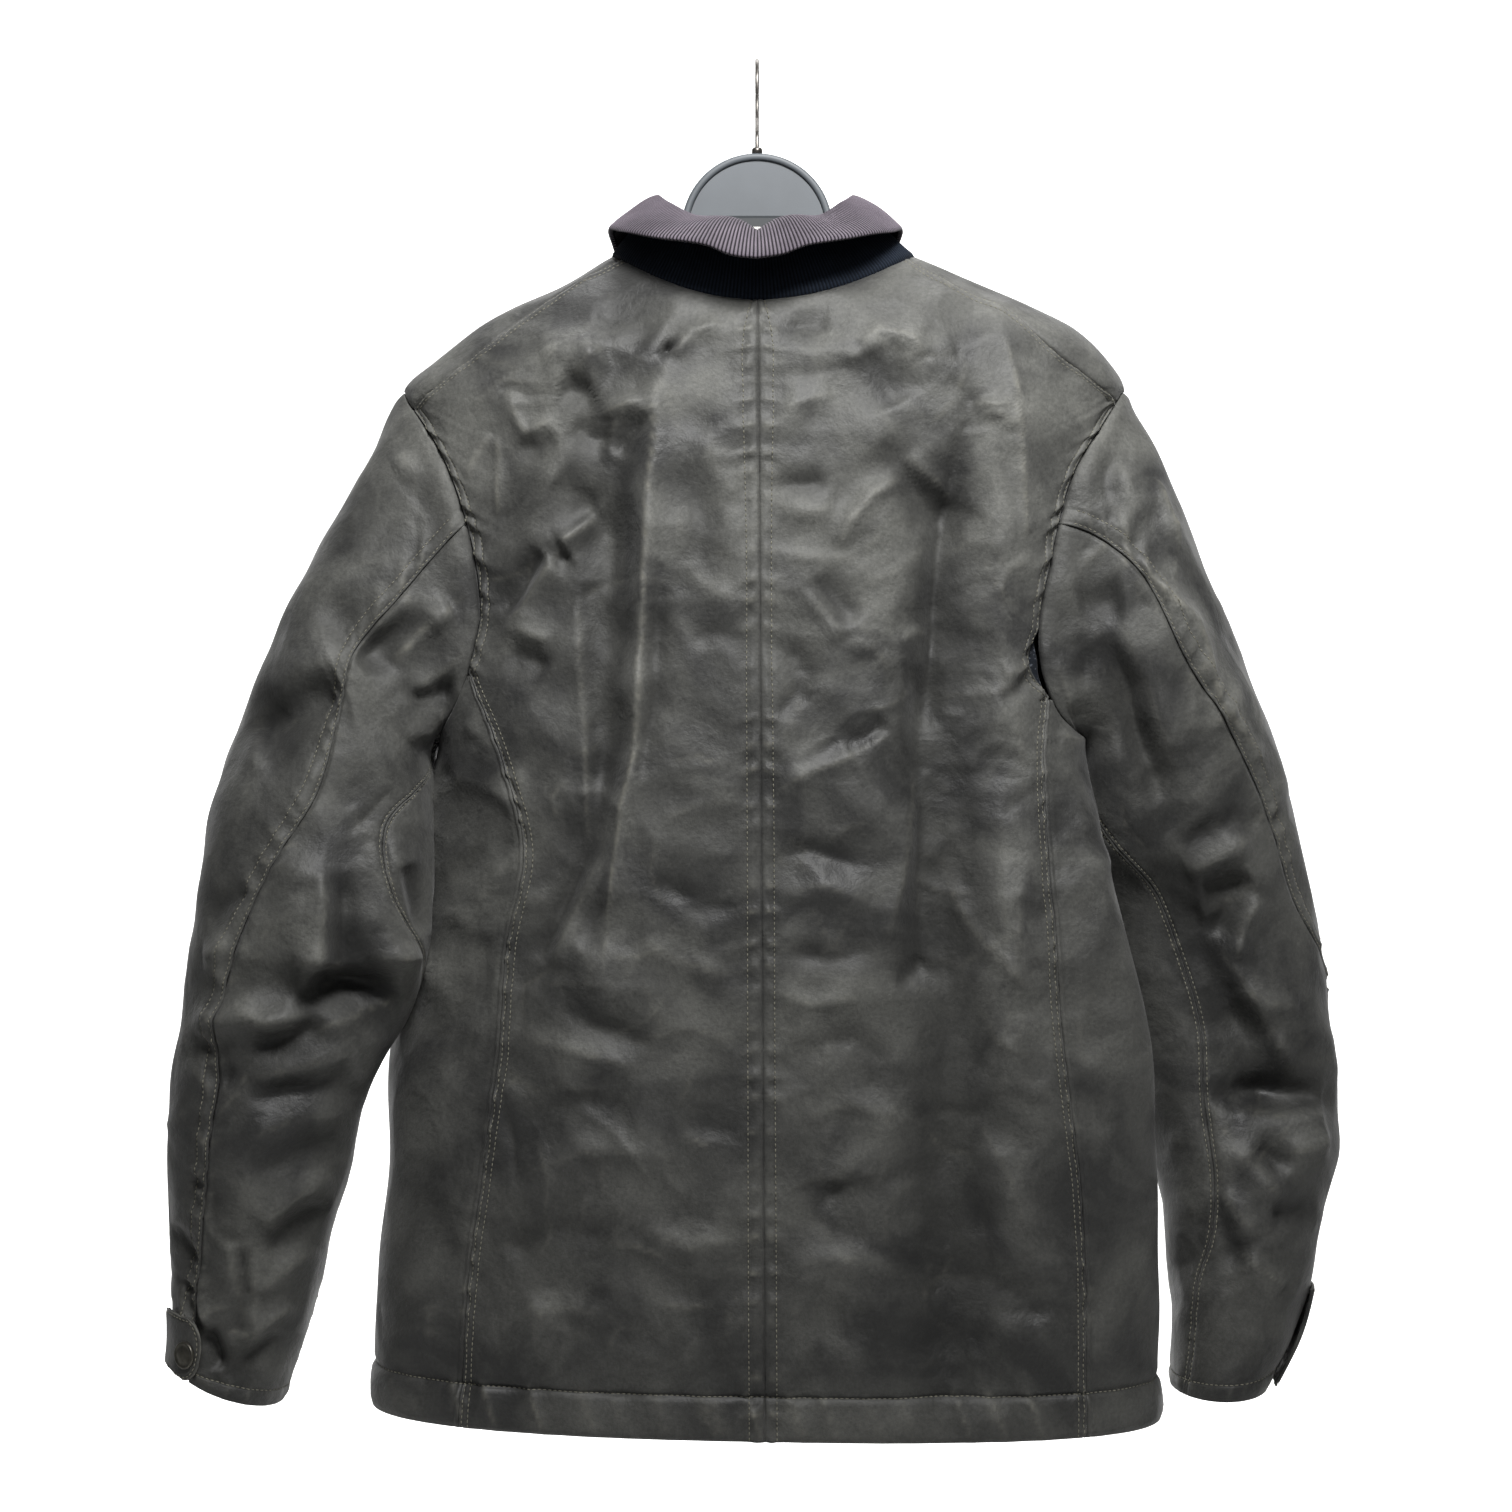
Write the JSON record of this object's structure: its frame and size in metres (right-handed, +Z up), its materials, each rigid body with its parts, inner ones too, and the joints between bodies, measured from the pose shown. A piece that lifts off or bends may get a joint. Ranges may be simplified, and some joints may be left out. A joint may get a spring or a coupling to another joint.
{
  "type": "waxed cotton jacket on a hanger",
  "caption": "Hip-length waxed cotton jacket with a corduroy collar and bent two-piece sleeves, hung open and empty on a plastic hanger with a wire hook.",
  "frame": {"origin": "inside of the top of the hanger's wire hook, where it rests on a rail", "axes": "+Z up, +X to the wearer's right, -Y out of the jacket's back, +Y out of its front; the rail runs along X"},
  "size_m": [0.7632, 0.2008, 0.8786],
  "materials": {
    "waxed_cotton": "waxed, matt to satin",
    "corduroy": "ribbed pile",
    "lining": "matt",
    "snap_metal": "blackened steel",
    "label_tape": "matt",
    "arm_plastic": "matt",
    "disc_plastic": "satin",
    "wire": "drawn wire"
  },
  "bodies": {
    "root": {"back_left": "waxed_cotton", "back_right": "waxed_cotton", "front_left": "waxed_cotton", "front_right": "waxed_cotton", "sleeve_left_outer": "waxed_cotton", "sleeve_left_under": "waxed_cotton", "sleeve_right_outer": "waxed_cotton", "sleeve_right_under": "waxed_cotton", "cuff_tab_left": "waxed_cotton", "cuff_tab_right": "waxed_cotton", "front_fly": "waxed_cotton", "cuff_snap_left": "snap_metal", "cuff_snap_right": "snap_metal", "fly_snap_1": "snap_metal", "fly_snap_2": "snap_metal", "fly_snap_3": "snap_metal", "fly_snap_4": "snap_metal", "fly_snap_5": "snap_metal", "armhole_lining_right": "lining", "collar_stand": "corduroy", "collar_fall": "corduroy", "neck_label": "label_tape", "hanger_body": "arm_plastic", "hanger_disc": "disc_plastic", "hanger_rim": "disc_plastic", "hook": "wire", "hook_collar": "wire"}
  },
  "joints": []
}
